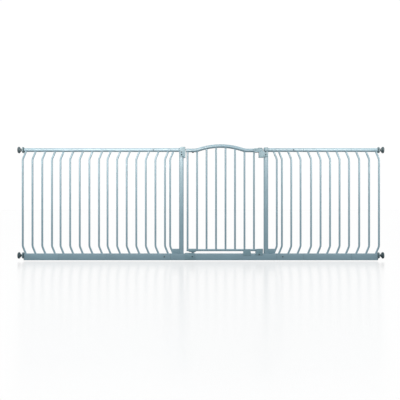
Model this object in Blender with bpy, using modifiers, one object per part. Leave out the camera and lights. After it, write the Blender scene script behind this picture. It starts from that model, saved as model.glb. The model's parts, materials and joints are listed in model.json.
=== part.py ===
"""Extra-wide safety baby gate: an arched walk-through door between extension panels.

The gate is held between two walls by four screw spindles. Metres, +Z up. X runs along the
gate, -Y is the front, and the origin is on the floor under the middle of the gate.
"""
from math import atan, cos, pi, radians, sin, sqrt, tan

import bmesh
import bpy
from mathutils import Matrix, Vector

# ---- Driving dimensions ----------------------------------------------------------------
GAP = 0.0003                    # play between pieces that touch

WALL = 1.2575                   # outer face of a wall cup, from the middle of the gate
RAIL_END = 1.218                # outer end of the extension rails
TOP_RADIUS = 0.013              # round top rail
TOP_HEIGHT = 0.758
FOOT_HEIGHT = 0.0458            # flat bottom rail, from the floor up
DEPTH = 0.025                   # front to back of bottom rails and posts
TUBE_WALL = 0.0015
TUBE_CORNER = 0.002
BAR_RADIUS = 0.0065
BOW = 0.0206                    # how far a bowed bar's middle stands away from the door
BOW_ANGLE = radians(22.5)
BEND_RADIUS = 0.05

# Extension panels: side, inner end, outer end, first bar, last bar (distances along X
# from the middle, taken where the bars meet the rails) and the number of bars.
LEFT, RIGHT = -1, 1
PANELS = {
    "left_inner": (LEFT, 0.209, 0.652, 0.2264, 0.6224, 7),
    "left_middle": (LEFT, 0.652, 0.976, 0.6812, 0.9463, 5),
    "left_outer": (LEFT, 0.976, RAIL_END, 1.0051, 1.2065, 4),
    "right_inner": (RIGHT, 0.5205, 0.704, 0.5378, 0.6663, 3),
    "right_middle": (RIGHT, 0.704, 1.0325, 0.7386, 1.0004, 5),
    "right_outer": (RIGHT, 1.0325, RAIL_END, 1.0702, 1.2065, 3),
}
UNIT_LEFT = -PANELS["left_inner"][1]
UNIT_RIGHT = PANELS["right_inner"][1]

POST_WIDTH = 0.034
POST_TOP = 0.771
LEFT_POST = -0.1344             # centre of the hinge post
RIGHT_POST = 0.4479             # centre of the latch post
WING_INSET = 0.0174             # wing bar to the end of the gate unit, at the rails
GUSSET_TOP = 0.078

HINGE_X = -0.055
LIFT = 0.008                    # how far the door is lifted to open it
DOOR_RADIUS = 0.0125            # arched top tube
DOOR_TOP = 0.7555               # its centre height beside the arch
DOOR_LEFT, DOOR_RIGHT = -0.103, 0.384
ARCH_MIDDLE, ARCH_HALF, ARCH_RISE = 0.1357, 0.186, 0.030
ARCH_FOOT_RADIUS = 0.120
DOOR_FOOT, DOOR_FOOT_RADIUS = 0.069, 0.0075
DOOR_FOOT_LEFT, DOOR_FOOT_RIGHT = -0.0985, 0.4205
DOOR_BARS, FIRST_DOOR_BAR, LAST_DOOR_BAR = 8, -0.0916, 0.3659

PIN_RADIUS, CONE_PIN_RADIUS = 0.004, 0.003
ARM_LOW, ARM_HIGH = 0.7575, 0.7615
PLATE = 0.0037                  # thickness of the plastic plates on posts and threshold
FRONT = -DEPTH / 2
PLATE_BACK = FRONT - GAP
PLATE_FRONT = PLATE_BACK - PLATE

STUD_RADIUS = 0.005
STUD_INNER = 1.150
BOTTOM_STUD_HEIGHT = 0.0325
CUP_RADIUS, CUP_LENGTH, CUP_SOCKET = 0.0225, 0.018, 0.012
NUT_RADIUS, NUT_LENGTH = 0.021, 0.0135
PLUG_FLANGE, PLUG_LENGTH = 0.003, 0.020

SCREW_RADIUS, SCREW_HEAD = 0.002, 0.0036

# ---- Scene, collections and materials --------------------------------------------------
for leftover in list(bpy.data.objects):
    bpy.data.objects.remove(leftover, do_unlink=True)


def new_collection(name):
    collection = bpy.data.collections.new(name)
    bpy.context.scene.collection.children.link(collection)
    return collection


PARTS = new_collection("safety_gate")
CUTTERS = new_collection("cutters")


def new_material(name, colour, roughness, metallic):
    material = bpy.data.materials.new(name)
    material.use_nodes = True
    shader = material.node_tree.nodes["Principled BSDF"]
    shader.inputs["Base Color"].default_value = (*colour, 1.0)
    shader.inputs["Roughness"].default_value = roughness
    shader.inputs["Metallic"].default_value = metallic
    return material


PAINT = new_material("painted_steel", (0.27, 0.37, 0.42), 0.45, 0.0)
PLASTIC = new_material("grey_plastic", (0.36, 0.46, 0.50), 0.5, 0.0)
DARK = new_material("slate_plastic", (0.12, 0.17, 0.19), 0.55, 0.0)
STEEL = new_material("zinc_steel", (0.55, 0.56, 0.58), 0.35, 1.0)


# ---- Shapes ----------------------------------------------------------------------------
def new_object(name, mesh, place=(0, 0, 0)):
    obj = bpy.data.objects.new(name, mesh)
    obj.location = place
    CUTTERS.objects.link(obj)
    obj.hide_render = True
    obj.display_type = "WIRE"
    return obj


def finish(obj, material, parent=None):
    """Move a shape from the cutters to the parts and give it its material."""
    CUTTERS.objects.unlink(obj)
    PARTS.objects.link(obj)
    obj.hide_render = False
    obj.display_type = "TEXTURED"
    obj.data.materials.clear()
    obj.data.materials.append(material)
    if parent:
        obj.parent = parent
        obj.matrix_parent_inverse = Matrix.Translation(parent.location).inverted()
    return obj


def block(name, low, high, rounding=0.0):
    """A box between two corners, with its edges rounded when a rounding is given."""
    low, high = Vector(low), Vector(high)
    form = bmesh.new()
    bmesh.ops.create_cube(form, size=1.0)
    bmesh.ops.scale(form, vec=high - low, verts=form.verts)
    if rounding:
        bmesh.ops.bevel(form, geom=form.edges, offset=rounding, segments=1, profile=0.5,
                        affect="EDGES")
    mesh = bpy.data.meshes.new(name)
    form.to_mesh(mesh)
    form.free()
    return new_object(name, mesh, (low + high) / 2)


def rod(name, start, end, radius, sides=16):
    """A round bar from start to end, with a flat rather than an edge at its front."""
    start, end = Vector(start), Vector(end)
    way = end - start
    form = bmesh.new()
    bmesh.ops.create_cone(form, cap_ends=True, segments=sides, radius1=radius,
                          radius2=radius, depth=way.length)
    half_side = Matrix.Rotation(pi / sides, 3, "Z")
    turn = way.to_track_quat("Z", "Y").to_matrix() @ half_side
    bmesh.ops.rotate(form, cent=(0, 0, 0), matrix=turn, verts=form.verts)
    mesh = bpy.data.meshes.new(name)
    form.to_mesh(mesh)
    form.free()
    mesh.shade_smooth()
    mesh.set_sharp_from_angle(angle=radians(40))
    return new_object(name, mesh, (start + end) / 2)


def as_mesh(obj, smooth=True):
    """Turn a curve object into a closed mesh object of the same name and place."""
    bpy.context.view_layer.update()
    evaluated = obj.evaluated_get(bpy.context.evaluated_depsgraph_get())
    mesh = bpy.data.meshes.new_from_object(evaluated)
    form = bmesh.new()
    form.from_mesh(mesh)
    bmesh.ops.remove_doubles(form, verts=form.verts, dist=0.00001)
    bmesh.ops.recalc_face_normals(form, faces=form.faces)
    form.to_mesh(mesh)
    form.free()
    if smooth:
        mesh.shade_smooth()
        mesh.set_sharp_from_angle(angle=radians(40))
    name, place = obj.name, obj.matrix_world.copy()
    bpy.data.objects.remove(obj, do_unlink=True)
    copy = new_object(name, mesh)
    copy.matrix_world = place
    return copy


def bent_tube(name, points, radius, resolution=2):
    """A round bar that follows the points, with closed ends."""
    curve = bpy.data.curves.new(name, "CURVE")
    curve.dimensions = "3D"
    curve.bevel_depth = radius
    curve.bevel_resolution = resolution
    curve.use_fill_caps = True
    spline = curve.splines.new("POLY")
    spline.points.add(len(points) - 1)
    for point, place in zip(spline.points, points):
        point.co = (*place, 1.0)
    return as_mesh(new_object(name, curve))


def side_plate(name, outline, middle, thickness):
    """A plate of the outline (x, z) standing across Y."""
    curve = bpy.data.curves.new(name, "CURVE")
    curve.dimensions = "2D"
    curve.fill_mode = "BOTH"
    curve.extrude = thickness / 2
    spline = curve.splines.new("POLY")
    spline.points.add(len(outline) - 1)
    for point, (x, z) in zip(spline.points, outline):
        point.co = (x, z, 0.0, 1.0)
    spline.use_cyclic_u = True
    obj = new_object(name, curve, (0, middle, 0))
    obj.rotation_euler = (pi / 2, 0, 0)
    return as_mesh(obj, smooth=False)


def turned(name, profile, place, rotation, steps=20, closed=False):
    """A turned piece: the profile (radius, height) spun about its own Z, then placed."""
    mesh = bpy.data.meshes.new(name)
    edges = [(i, i + 1) for i in range(len(profile) - 1)]
    if closed:
        edges.append((len(profile) - 1, 0))
    mesh.from_pydata([(radius, 0.0, height) for radius, height in profile], edges, [])
    obj = new_object(name, mesh, place)
    obj.rotation_euler = rotation
    screw = obj.modifiers.new("Turn", "SCREW")
    screw.steps = screw.render_steps = steps
    screw.use_merge_vertices = True
    screw.merge_threshold = 0.00001
    screw.use_smooth_shade = True
    return obj


def combine(target, operation, others):
    """Join the other shapes to the target, or cut them from it."""
    group = bpy.data.collections.new(f"{target.name}_{operation.lower()}")
    for other in others:
        group.objects.link(other)
    modifier = target.modifiers.new(operation.title(), "BOOLEAN")
    modifier.operation = operation
    modifier.solver = "EXACT"
    modifier.operand_type = "COLLECTION"
    modifier.collection = group
    return target


def join(target, *others):
    return combine(target, "UNION", others)


def cut(target, *cutters):
    return combine(target, "DIFFERENCE", cutters)


def pivot(name, place):
    """An empty on a joint's axis, which carries the pieces that move with it."""
    empty = bpy.data.objects.new(name, None)
    empty.location = place
    PARTS.objects.link(empty)
    return empty


# ---- Screws ----------------------------------------------------------------------------
HEAD_FRONT = (pi / 2, 0, 0)     # the head's top faces the front


def add_screw(name, x, z, seat, length, parent=None):
    """A pan-head screw whose head sits on the plane y = seat and points backwards."""
    profile = [(0, 0.0018), (0.0024, 0.0016), (SCREW_HEAD, 0.0004), (SCREW_HEAD, 0),
               (SCREW_RADIUS, 0), (SCREW_RADIUS, -length), (0, -length)]
    screw = turned(name, profile, (x, seat - GAP, z), HEAD_FRONT, steps=10)
    return finish(screw, STEEL, parent)


def screw_hole(x, z, front, back):
    return rod("screw_hole", (x, front, z), (x, back, z), SCREW_RADIUS + GAP, sides=10)


# ---- Bowed bars and rails --------------------------------------------------------------
def bowed_points(x, side, low, high):
    """The middle line of a bowed bar that meets the rails' edges at x."""
    rise = BOW / tan(BOW_ANGLE)
    back_off = BEND_RADIUS * tan(BOW_ANGLE / 2)
    sink = 0.006
    corners = []
    for edge, up in ((low, 1), (high, -1)):
        knee = Vector((x + side * BOW, 0, edge + up * rise))
        slant = Vector((-side * sin(BOW_ANGLE), 0, -up * cos(BOW_ANGLE)))
        centre = knee + Vector((-side * BEND_RADIUS, 0, up * back_off))
        steps = [BOW_ANGLE * (1 - i / 2) for i in range(3)]
        arc = [centre + BEND_RADIUS * Vector((side * cos(a), 0, -up * sin(a))) for a in steps]
        tip = Vector((x, 0, edge)) + slant * sink
        corners.append([tip, *arc])
    bottom, top = corners
    return bottom + top[::-1]


def bowed_bar(x, side, low=FOOT_HEIGHT):
    points = bowed_points(x, side, low, TOP_HEIGHT - TOP_RADIUS)
    return bent_tube("bowed_bar", points, BAR_RADIUS)


def top_tube(name, start, end, radius=TOP_RADIUS, sides=16):
    return rod(name, (start, 0, TOP_HEIGHT), (end, 0, TOP_HEIGHT), radius, sides)


def foot_tube(name, start, end, wall=0.0, rounding=0.0):
    half = DEPTH / 2 - wall
    return block(name, (start, -half, wall), (end, half, FOOT_HEIGHT - wall), rounding)


def rail_bores(start, end):
    """The hollows of a top and a bottom rail, run past both ends."""
    past = 0.002
    round_bore = top_tube("round_bore", start - past, end + past, TOP_RADIUS - TUBE_WALL)
    flat_bore = foot_tube("flat_bore", start - past, end + past, TUBE_WALL)
    return round_bore, flat_bore


# Screws that show on the rails beside the gate unit: top and bottom, as distances from
# the junction.
TOP_JOINER_SCREW, BOTTOM_JOINER_SCREW = 0.116, 0.0418
JOINER_SCREW_HEIGHT = 0.024


def joiner_screw_holes(side, junction):
    top_x = junction + side * TOP_JOINER_SCREW
    foot_x = junction + side * BOTTOM_JOINER_SCREW
    return (screw_hole(top_x, TOP_HEIGHT, -0.02, 0.0),
            screw_hole(foot_x, JOINER_SCREW_HEIGHT, -0.02, 0.0))


def add_panel(name, side, inner, outer, first, last, count):
    """An extension panel: a round top tube and a flat bottom tube joined by bowed bars."""
    outer_steel = outer - PLUG_FLANGE - GAP if outer == RAIL_END else outer - GAP / 2
    start, end = sorted((side * (inner + GAP / 2), side * outer_steel))
    panel = top_tube(f"{name}_panel", start, end)
    pitch = (last - first) / (count - 1)
    bars = [bowed_bar(side * (first + i * pitch), side) for i in range(count)]
    join(panel, foot_tube("foot", start, end, rounding=TUBE_CORNER), *bars)
    cut(panel, *rail_bores(start, end))
    if name.endswith("inner"):
        cut(panel, *joiner_screw_holes(side, side * inner))
    finish(panel, PAINT)


def add_joiners(name, side, junction, reach_in, reach_out):
    """The plugs inside the rails that carry one panel on the next."""
    inner, outer = junction - side * reach_in, junction + side * reach_out
    top = top_tube(f"{name}_top_joiner", inner, outer, TOP_RADIUS - TUBE_WALL - GAP, 16)
    foot_outer = junction + side * min(reach_out, 0.07)
    start, end = sorted((inner, foot_outer))
    foot = foot_tube(f"{name}_bottom_joiner", start, end, TUBE_WALL + GAP)
    if name.endswith("inner"):
        top_hole, foot_hole = joiner_screw_holes(side, junction)
        cut(top, top_hole)
        cut(foot, foot_hole)
        seat_top = -TOP_RADIUS
        length = 0.009
        add_screw(f"{name}_top_joiner_screw", junction + side * TOP_JOINER_SCREW,
                  TOP_HEIGHT, seat_top, length)
        add_screw(f"{name}_bottom_joiner_screw", junction + side * BOTTOM_JOINER_SCREW,
                  JOINER_SCREW_HEIGHT, FRONT, length)
    finish(top, PLASTIC)
    finish(foot, PLASTIC)


for panel_name, panel in PANELS.items():
    add_panel(panel_name, *panel)
    panel_side, panel_inner = panel[:2]
    beside_unit = panel_name.endswith("inner")
    add_joiners(panel_name, panel_side, panel_side * panel_inner,
                0.045, 0.130 if beside_unit else 0.045)

# ---- Welded gate unit ------------------------------------------------------------------
HINGE_SCREW_X, HINGE_SCREWS = -0.133, (0.744, 0.726)
CATCH_SCREW_X, CATCH_SCREWS = 0.4444, (0.7434, 0.7276)


def add_post_frame(name, side, centre, end, screw_x, screw_heights):
    """A post with its top rail stub, bowed wing bar and foot gusset, welded together."""
    foot = FOOT_HEIGHT + GAP
    half, half_depth = POST_WIDTH / 2, DEPTH / 2
    post = block(f"{name}_post_frame", (centre - half, -half_depth, foot),
                 (centre + half, half_depth, POST_TOP), rounding=TUBE_CORNER)
    face = centre + side * half
    stub_end = end - side * GAP / 2
    stub = top_tube("stub", face - side * 0.002, stub_end)
    wing_x = end - side * WING_INSET
    wing = bowed_bar(wing_x, side, low=foot + 0.004)
    reach = side * (GUSSET_TOP - foot) * tan(BOW_ANGLE)
    inner, outer = face - side * 0.002, wing_x - side * 0.001
    outline = [(inner, foot), (outer, foot), (outer + reach, GUSSET_TOP), (inner, GUSSET_TOP)]
    gusset = side_plate("gusset", outline, 0, 0.012)
    join(post, stub, wing, gusset)
    bore = block("post_bore", (centre - half + TUBE_WALL, -half_depth + TUBE_WALL, 0),
                 (centre + half - TUBE_WALL, half_depth - TUBE_WALL, 0.8))
    start, stop = sorted((face + side * TUBE_WALL, end + side * 0.002))
    stub_bore = top_tube("stub_bore", start, stop, TOP_RADIUS - TUBE_WALL)
    floor = block("floor_cut", (centre - 0.15, -0.03, 0), (centre + 0.15, 0.03, foot))
    holes = [screw_hole(screw_x, z, -0.02, 0) for z in screw_heights]
    cut(post, bore, stub_bore, floor, *holes)
    return finish(post, PAINT)


add_post_frame("left", LEFT, LEFT_POST, UNIT_LEFT, HINGE_SCREW_X, HINGE_SCREWS)
add_post_frame("right", RIGHT, RIGHT_POST, UNIT_RIGHT, CATCH_SCREW_X, CATCH_SCREWS)

HINGE_BASE_SCREW = (-0.0593, 0.0255)
CRADLE_SCREW = (0.400, 0.0400)
threshold = foot_tube("threshold_rail", UNIT_LEFT + GAP / 2, UNIT_RIGHT - GAP / 2,
                      rounding=TUBE_CORNER)
cone_hole = rod("cone_hole", (HINGE_X, 0, 0.03), (HINGE_X, 0, 0.06), CONE_PIN_RADIUS + GAP)
cut(threshold, foot_tube("bore", UNIT_LEFT - 0.002, UNIT_RIGHT + 0.002, TUBE_WALL), cone_hole,
    screw_hole(*HINGE_BASE_SCREW, -0.02, 0), screw_hole(*CRADLE_SCREW, -0.02, 0))
finish(threshold, PAINT)


# ---- Wall spindles ---------------------------------------------------------------------
def add_spindle(name, side, height, square_plug):
    """A screw spindle: threaded rod, wheel nut, wall cup and the bush in the rail's end."""
    outward = (0, side * pi / 2, 0)
    steel_end = side * (RAIL_END - PLUG_FLANGE)
    flange_end = side * RAIL_END
    plug_inner = steel_end - side * PLUG_LENGTH
    hole_radius = STUD_RADIUS + GAP
    inset = TUBE_WALL + GAP
    start, stop = sorted((steel_end, flange_end))
    if square_plug:
        lean = 0.010
        z_top = FOOT_HEIGHT
        outline = [(steel_end, 0), (steel_end + side * 0.0012, 0), (flange_end, lean),
                   (flange_end, z_top), (steel_end, z_top)]
        plug = side_plate(f"{name}_rail_plug", outline, 0, DEPTH)
        near, far = sorted((plug_inner, steel_end + side * 0.001))
        insert = foot_tube("insert", near, far, inset)
    else:
        plug = rod(f"{name}_rail_plug", (start, 0, height), (stop, 0, height), TOP_RADIUS)
        insert = top_tube("insert", plug_inner, steel_end + side * 0.001, TOP_RADIUS - inset)
    join(plug, insert)
    cut(plug, rod("stud_hole", (plug_inner - side * 0.01, 0, height),
                  (flange_end + side * 0.01, 0, height), hole_radius))
    finish(plug, DARK)

    nut_pivot = pivot(f"{name}_nut_axis", (flange_end, 0, height))
    nut_profile = [(hole_radius, NUT_LENGTH), (NUT_RADIUS - 0.002, NUT_LENGTH),
                   (NUT_RADIUS, NUT_LENGTH - 0.003), (NUT_RADIUS, 0.003),
                   (NUT_RADIUS - 0.002, 0), (hole_radius, 0)]
    nut = turned(f"{name}_wheel_nut", nut_profile, (flange_end + side * GAP, 0, height),
                 outward, closed=True)
    finish(nut, DARK, nut_pivot)

    cup_pivot = pivot(f"{name}_spindle_axis", (side * WALL, 0, height))
    cup_profile = [(0, 0), (CUP_RADIUS - 0.001, 0), (CUP_RADIUS, -0.001),
                   (CUP_RADIUS, -0.006), (0.015, -0.013), (0.0115, -CUP_LENGTH),
                   (hole_radius, -CUP_LENGTH), (hole_radius, -CUP_LENGTH + CUP_SOCKET),
                   (0, -CUP_LENGTH + CUP_SOCKET)]
    cup = turned(f"{name}_wall_cup", cup_profile, (side * WALL, 0, height), outward)
    finish(cup, DARK, cup_pivot)
    stud_end = WALL - CUP_LENGTH + CUP_SOCKET - GAP
    stud = rod(f"{name}_spindle_screw", (side * STUD_INNER, 0, height),
               (side * stud_end, 0, height), STUD_RADIUS, 16)
    finish(stud, STEEL, cup_pivot)


for side_name, spindle_side in (("left", LEFT), ("right", RIGHT)):
    add_spindle(f"{side_name}_top", spindle_side, TOP_HEIGHT, False)
    add_spindle(f"{side_name}_bottom", spindle_side, BOTTOM_STUD_HEIGHT, True)

# ---- Hinge: fixed pieces ---------------------------------------------------------------
BRACKET_LEFT, BRACKET_RIGHT = -0.144, -0.1063
BRACKET_LOW, BRACKET_HIGH = 0.703, 0.779
POST_RIGHT_FACE = LEFT_POST + POST_WIDTH / 2

bracket = block("upper_hinge_bracket", (BRACKET_LEFT, PLATE_FRONT - 0.0015, BRACKET_LOW),
                (BRACKET_RIGHT, PLATE_BACK, BRACKET_HIGH), rounding=0.0012)
side_cheek = block("side_cheek", (POST_RIGHT_FACE + GAP, PLATE_BACK - 0.002, BRACKET_LOW),
                   (BRACKET_RIGHT, 0.0125, BRACKET_HIGH), rounding=0.0012)
top_cap = block("top_cap", (BRACKET_LEFT, PLATE_BACK - 0.002, POST_TOP + GAP),
                (BRACKET_RIGHT, 0.0125, BRACKET_HIGH), rounding=0.0012)
arm = block("arm", (POST_RIGHT_FACE + 0.003, -0.008, ARM_LOW), (HINGE_X, 0.008, ARM_HIGH))
arm_eye = rod("arm_eye", (HINGE_X, 0, ARM_LOW), (HINGE_X, 0, ARM_HIGH), 0.008)
join(bracket, side_cheek, top_cap, arm, arm_eye)
pin_hole = rod("pin_hole", (HINGE_X, 0, 0.7), (HINGE_X, 0, 0.8), PIN_RADIUS + GAP)
cut(bracket, pin_hole, *[screw_hole(HINGE_SCREW_X, z, -0.03, 0) for z in HINGE_SCREWS])
finish(bracket, PLASTIC)
for number, z in enumerate(HINGE_SCREWS, start=1):
    add_screw(f"upper_hinge_screw_{number}", HINGE_SCREW_X, z, PLATE_FRONT - 0.0015, 0.010)

SADDLE_TOP = 0.0491
base = block("lower_hinge_base", (-0.1096, PLATE_FRONT, 0.004), (-0.0427, PLATE_BACK, SADDLE_TOP),
             rounding=0.001)
saddle = block("saddle", (-0.1096, PLATE_BACK - 0.002, FOOT_HEIGHT + GAP),
               (-0.0427, 0.0125, SADDLE_TOP), rounding=0.001)
join(base, saddle)
cone_socket = rod("cone_socket", (HINGE_X, 0, 0.03), (HINGE_X, 0, 0.06), CONE_PIN_RADIUS + GAP)
cut(base, cone_socket, screw_hole(*HINGE_BASE_SCREW, -0.03, 0))
finish(base, PLASTIC)
add_screw("lower_hinge_screw", *HINGE_BASE_SCREW, PLATE_FRONT, 0.009)

# ---- Hinge: pins that turn with the door -----------------------------------------------
hinge_axis = pivot("door_hinge_axis", (HINGE_X, 0, 0))
UPRIGHT = (0, 0, 0)
bolt_foot, bolt_seat, bolt_top = 0.7385, 0.7425, 0.7655
bolt_profile = [(0, bolt_top), (PIN_RADIUS, bolt_top), (PIN_RADIUS, bolt_seat),
                (0.0065, bolt_seat), (0.0065, bolt_foot + 0.001), (0.0055, bolt_foot),
                (0, bolt_foot)]
finish(turned("upper_pivot_bolt", bolt_profile, (HINGE_X, 0, 0), UPRIGHT, 16), STEEL, hinge_axis)

SLEEVE_LOW, SLEEVE_HIGH = 0.0565, 0.0785
SLEEVE_LEFT, SLEEVE_RIGHT = -0.0845, -0.0335
pin_top, pin_foot = 0.0735, 0.040
trumpet_top, trumpet_foot = SLEEVE_LOW - GAP, SADDLE_TOP + GAP
cone_profile = [(0, pin_top), (CONE_PIN_RADIUS, pin_top), (CONE_PIN_RADIUS, trumpet_top),
                (0.0150, trumpet_top), (0.0150, trumpet_top - 0.001), (0.0090, 0.0535),
                (0.0058, 0.0515), (0.0042, trumpet_foot), (CONE_PIN_RADIUS, trumpet_foot),
                (CONE_PIN_RADIUS, pin_foot), (0, pin_foot)]
finish(turned("lower_pivot_cone", cone_profile, (HINGE_X, 0, 0), UPRIGHT, 16), PLASTIC,
       hinge_axis)

# ---- Door ------------------------------------------------------------------------------
ARCH_ANGLE = 2 * atan(ARCH_RISE / ARCH_HALF)
CROWN_RADIUS = ARCH_HALF / sin(ARCH_ANGLE) - ARCH_FOOT_RADIUS


def arch_points():
    """The middle line of the door's top tube: flat, a hollow curve, the crown, and back."""
    steps = 6
    turns = [ARCH_ANGLE * i / steps for i in range(steps + 1)]
    half = [(CROWN_RADIUS * sin(a), ARCH_RISE - CROWN_RADIUS * (1 - cos(a))) for a in turns]
    half += [(ARCH_HALF - ARCH_FOOT_RADIUS * sin(a), ARCH_FOOT_RADIUS * (1 - cos(a)))
             for a in turns[-2::-1]]
    right = [(ARCH_MIDDLE + u, 0, DOOR_TOP + z) for u, z in half]
    left = [(ARCH_MIDDLE - u, 0, DOOR_TOP + z) for u, z in half[:0:-1]]
    return [(DOOR_LEFT, 0, DOOR_TOP), *left, *right, (DOOR_RIGHT, 0, DOOR_TOP)]


def arch_height(x):
    """Centre height of the top tube at x."""
    u = abs(x - ARCH_MIDDLE)
    if u < CROWN_RADIUS * sin(ARCH_ANGLE):
        return DOOR_TOP + ARCH_RISE - CROWN_RADIUS + sqrt(CROWN_RADIUS ** 2 - u ** 2)
    if u < ARCH_HALF:
        return DOOR_TOP + ARCH_FOOT_RADIUS - sqrt(ARCH_FOOT_RADIUS ** 2 - (ARCH_HALF - u) ** 2)
    return DOOR_TOP


lift_axis = pivot("door_lift_axis", (HINGE_X, 0, 0))
door = bent_tube("door_frame", arch_points(), DOOR_RADIUS, resolution=5)
door_pitch = (LAST_DOOR_BAR - FIRST_DOOR_BAR) / (DOOR_BARS - 1)
door_xs = [FIRST_DOOR_BAR + i * door_pitch for i in range(DOOR_BARS)]
door_bars = [rod("door_bar", (x, 0, DOOR_FOOT), (x, 0, arch_height(x) - 0.006), BAR_RADIUS, 12)
             for x in door_xs]
door_foot = rod("door_foot", (DOOR_FOOT_LEFT, 0, DOOR_FOOT), (DOOR_FOOT_RIGHT, 0, DOOR_FOOT),
                DOOR_FOOT_RADIUS, 16)
join(door, door_foot, *door_bars)
arm_sweep = block("arm_sweep", (DOOR_LEFT - 0.01, -0.0085, ARM_LOW - LIFT - 2 * GAP),
                  (HINGE_X + 0.009, 0.02, ARM_HIGH + GAP))
bolt_bore = rod("bolt_bore", (HINGE_X, 0, 0.73), (HINGE_X, 0, bolt_top + GAP),
                PIN_RADIUS + GAP)
cone_bore_ends = (HINGE_X, 0, 0.05), (HINGE_X, 0, pin_top + GAP)
cut(door, arm_sweep, bolt_bore, rod("cone_bore", *cone_bore_ends, CONE_PIN_RADIUS + GAP))
finish(door, PAINT, lift_axis)

sleeve = block("lower_hinge_sleeve", (SLEEVE_LEFT, -0.0105, SLEEVE_LOW),
               (SLEEVE_RIGHT, 0.0105, SLEEVE_HIGH), rounding=0.003)
cut(sleeve, rod("foot_bore", (SLEEVE_LEFT - 0.01, 0, DOOR_FOOT), (SLEEVE_RIGHT + 0.01, 0, DOOR_FOOT),
                DOOR_FOOT_RADIUS + GAP),
    rod("sleeve_bore", (HINGE_X, 0, 0.05), (HINGE_X, 0, DOOR_FOOT), CONE_PIN_RADIUS + GAP))
finish(sleeve, PLASTIC, lift_axis)

# ---- Handle and latch ------------------------------------------------------------------
HANDLE_LEFT, HANDLE_RIGHT = 0.3645, 0.428
HANDLE_LOW, HANDLE_HIGH = 0.741, 0.7705
HANDLE_DEPTH = 0.032
SHELF_TOP = 0.748
SHELF_LEFT = 0.398
LATCH_TRAVEL = 0.008
CAVITY_LEFT, CAVITY_RIGHT = 0.390, 0.4245
CAVITY_LOW, CAVITY_HIGH = 0.7515, 0.7665
BOLT_LEFT, BOLT_RIGHT = 0.4015, 0.4240
TOOTH_LEFT, TOOTH_RIGHT, TOOTH_LOW = 0.4115, 0.4215, 0.738
STEM_LEFT, STEM_RIGHT = 0.4025, 0.4125

outline = [(HANDLE_LEFT, HANDLE_LOW + 0.0035), (HANDLE_LEFT + 0.010, HANDLE_LOW),
           (SHELF_LEFT - 0.0006, HANDLE_LOW), (SHELF_LEFT - 0.0006, SHELF_TOP + GAP),
           (HANDLE_RIGHT, SHELF_TOP + GAP), (HANDLE_RIGHT, HANDLE_HIGH - 0.003),
           (HANDLE_RIGHT - 0.003, HANDLE_HIGH), (HANDLE_LEFT + 0.006, HANDLE_HIGH),
           (HANDLE_LEFT, HANDLE_HIGH - 0.002)]
handle = side_plate("handle_shell", outline, 0, HANDLE_DEPTH)
tube_bore = rod("tube_bore", (HANDLE_LEFT - 0.01, 0, DOOR_TOP), (DOOR_RIGHT + GAP, 0, DOOR_TOP),
                DOOR_RADIUS + GAP)
bar_bore = rod("bar_bore", (LAST_DOOR_BAR, 0, 0.73), (LAST_DOOR_BAR, 0, DOOR_TOP),
               BAR_RADIUS + GAP)
cavity = block("cavity", (CAVITY_LEFT, -0.008, CAVITY_LOW), (CAVITY_RIGHT, 0.008, CAVITY_HIGH))
tooth_slot = block("tooth_slot", (TOOTH_LEFT - LATCH_TRAVEL - 0.0006, -0.0053, 0.73),
                   (TOOTH_RIGHT + 0.0006, 0.0053, CAVITY_LOW + 0.002))
stem_slot = block("stem_slot", (STEM_LEFT - LATCH_TRAVEL - 0.0006, -0.0043, CAVITY_HIGH - 0.002),
                  (STEM_RIGHT + 0.0006, 0.0043, 0.78))
cut(handle, tube_bore, bar_bore, cavity, tooth_slot, stem_slot)
finish(handle, PLASTIC, lift_axis)

latch_axis = pivot("latch_axis", (BOLT_RIGHT, 0, 0.759))
latch_axis.parent = lift_axis
latch_axis.matrix_parent_inverse = Matrix.Translation(lift_axis.location).inverted()


def finish_on_latch(obj, material):
    finish(obj, material)
    obj.parent = latch_axis
    obj.matrix_parent_inverse = Matrix.Translation(latch_axis.location).inverted()


latch_bolt = block("latch_bolt", (BOLT_LEFT, -0.0075, CAVITY_LOW + GAP),
                   (BOLT_RIGHT, 0.0075, CAVITY_HIGH - GAP))
tooth = block("tooth", (TOOTH_LEFT, -0.005, TOOTH_LOW), (TOOTH_RIGHT, 0.005, CAVITY_LOW + 0.003))
stem_hole = block("stem_hole", (STEM_LEFT - GAP, -0.004 - GAP, 0.760),
                  (STEM_RIGHT + GAP, 0.004 + GAP, 0.78))
join(latch_bolt, tooth)
cut(latch_bolt, stem_hole)
finish_on_latch(latch_bolt, STEEL)

button = block("latch_button", (STEM_LEFT - 0.009, -0.0085, HANDLE_HIGH + GAP),
               (STEM_RIGHT + 0.009, 0.0085, HANDLE_HIGH + 0.0027), rounding=0.0008)
stem = block("stem", (STEM_LEFT, -0.004, 0.760 + GAP), (STEM_RIGHT, 0.004, HANDLE_HIGH + 0.001))
join(button, stem)
finish_on_latch(button, DARK)

SPRING_TURNS, SPRING_RADIUS, WIRE_RADIUS = 3, 0.0045, 0.0006
spring_start, spring_end = CAVITY_LEFT + 0.001, BOLT_LEFT - 0.001
spring_points = []
for i in range(SPRING_TURNS * 10 + 1):
    angle = 2 * pi * i / 10
    along = spring_start + (spring_end - spring_start) * i / (SPRING_TURNS * 10)
    spring_points.append((along, SPRING_RADIUS * cos(angle), 0.759 + SPRING_RADIUS * sin(angle)))
spring = bent_tube("latch_spring", spring_points, WIRE_RADIUS, resolution=1)
finish(spring, STEEL, lift_axis)

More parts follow.
